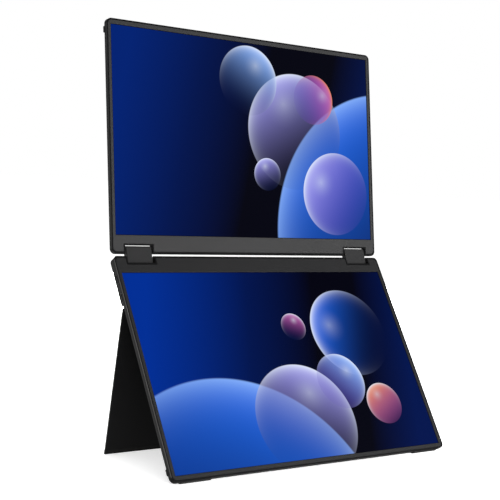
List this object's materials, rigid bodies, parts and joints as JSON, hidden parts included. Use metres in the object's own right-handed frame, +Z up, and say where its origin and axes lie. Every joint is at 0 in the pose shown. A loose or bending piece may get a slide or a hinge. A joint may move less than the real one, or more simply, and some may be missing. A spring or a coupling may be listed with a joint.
{
  "type": "dual portable monitor",
  "caption": "Two thin display panels stacked on geared fold-flat hinges; the lower one leans on a full-width flap stand and has side ports, keys and a tripod socket.",
  "frame": {"origin": "centre of the bounding box at the surface that the feet stand on", "axes": "+Z up, +X to the viewer's right, the screens face -Y"},
  "size_m": [0.3109, 0.1528, 0.3881],
  "materials": {
    "shell": "fine matte grain, charcoal",
    "bezel": "fine matte grain, dark grey",
    "screen": "smooth, lit picture in deep blues",
    "hinge": "satin dark grey paint",
    "stand": "matte black grain",
    "key": "satin",
    "rubber": "matte",
    "plate": "plain sheet",
    "steel": "turned and stamped",
    "bronze": "turned",
    "board": "coated circuit board"
  },
  "bodies": {
    "lower_panel": {"lower_rear_cover": "shell", "lower_front_bezel": "bezel", "lower_display": "screen", "lower_support_plate": "plate", "lower_hinge_brackets": "steel", "lower_bracket_screws": "steel", "lower_hinge_shafts": "steel", "lower_edge_bumpers": "rubber", "main_board": "board", "side_board": "board", "board_screws": "steel", "usb_c_sockets": "steel", "mini_hdmi_socket": "steel", "tripod_bush": "bronze", "front_feet": "rubber", "stand_hinge_brackets": "steel", "stand_bracket_screws": "steel"},
    "hinge_blocks": {"hinge_housings": "hinge", "hinge_end_caps": "hinge", "friction_sleeves": "bronze", "idler_pins": "steel"},
    "lower_idler_gears": {"lower_idlers": "steel"},
    "upper_idler_gears": {"upper_idlers": "steel"},
    "upper_panel": {"upper_rear_cover": "shell", "upper_front_bezel": "bezel", "upper_display": "screen", "upper_support_plate": "plate", "upper_hinge_brackets": "steel", "upper_bracket_screws": "steel", "upper_hinge_shafts": "steel", "upper_edge_bumpers": "rubber", "upper_driver_board": "board", "upper_board_screws": "steel"},
    "stand": {"stand_flap": "stand", "stand_pins": "steel", "stand_foot": "rubber"},
    "power_key": {"power_button": "key"},
    "menu_key": {"menu_button": "key"}
  },
  "joints": [
    {"name": "lower_hinge", "type": "hinge", "parent": "hinge_blocks", "child": "lower_panel", "pos_m": [0, 0.04177, 0.1746], "axis": [1, 0, 0], "range_deg": [-77.3, 85.2]},
    {"name": "upper_hinge", "type": "hinge", "parent": "hinge_blocks", "child": "upper_panel", "pos_m": [0, 0.04451, 0.1818], "axis": [-1, 0, 0], "range_deg": [-77.3, 85.2]},
    {"name": "lower_idler_spin", "type": "hinge", "parent": "hinge_blocks", "child": "lower_idler_gears", "pos_m": [0, 0.04269, 0.177], "axis": [-1, 0, 0], "range_deg": [-77.3, 85.2]},
    {"name": "upper_idler_spin", "type": "hinge", "parent": "hinge_blocks", "child": "upper_idler_gears", "pos_m": [0, 0.0436, 0.1794], "axis": [-1, 0, 0], "range_deg": [-85.2, 77.3]},
    {"name": "stand_hinge", "type": "hinge", "parent": "lower_panel", "child": "stand", "pos_m": [0, 0.01929, 0.13492], "axis": [1, 0, 0], "range_deg": [-42.4, 0]},
    {"name": "power_press", "type": "slide", "parent": "lower_panel", "child": "power_key", "axis": [-1, 0, 0], "range_m": [0, 0.00035], "stiffness_N_per_m": 3000},
    {"name": "menu_press", "type": "slide", "parent": "lower_panel", "child": "menu_key", "axis": [-1, 0, 0], "range_m": [0, 0.00035], "stiffness_N_per_m": 3000}
  ],
  "couplings": [
    {"joint": "lower_hinge", "follows": "upper_hinge", "ratio": 1},
    {"joint": "lower_idler_spin", "follows": "upper_hinge", "ratio": 1},
    {"joint": "upper_idler_spin", "follows": "upper_hinge", "ratio": -1}
  ]
}
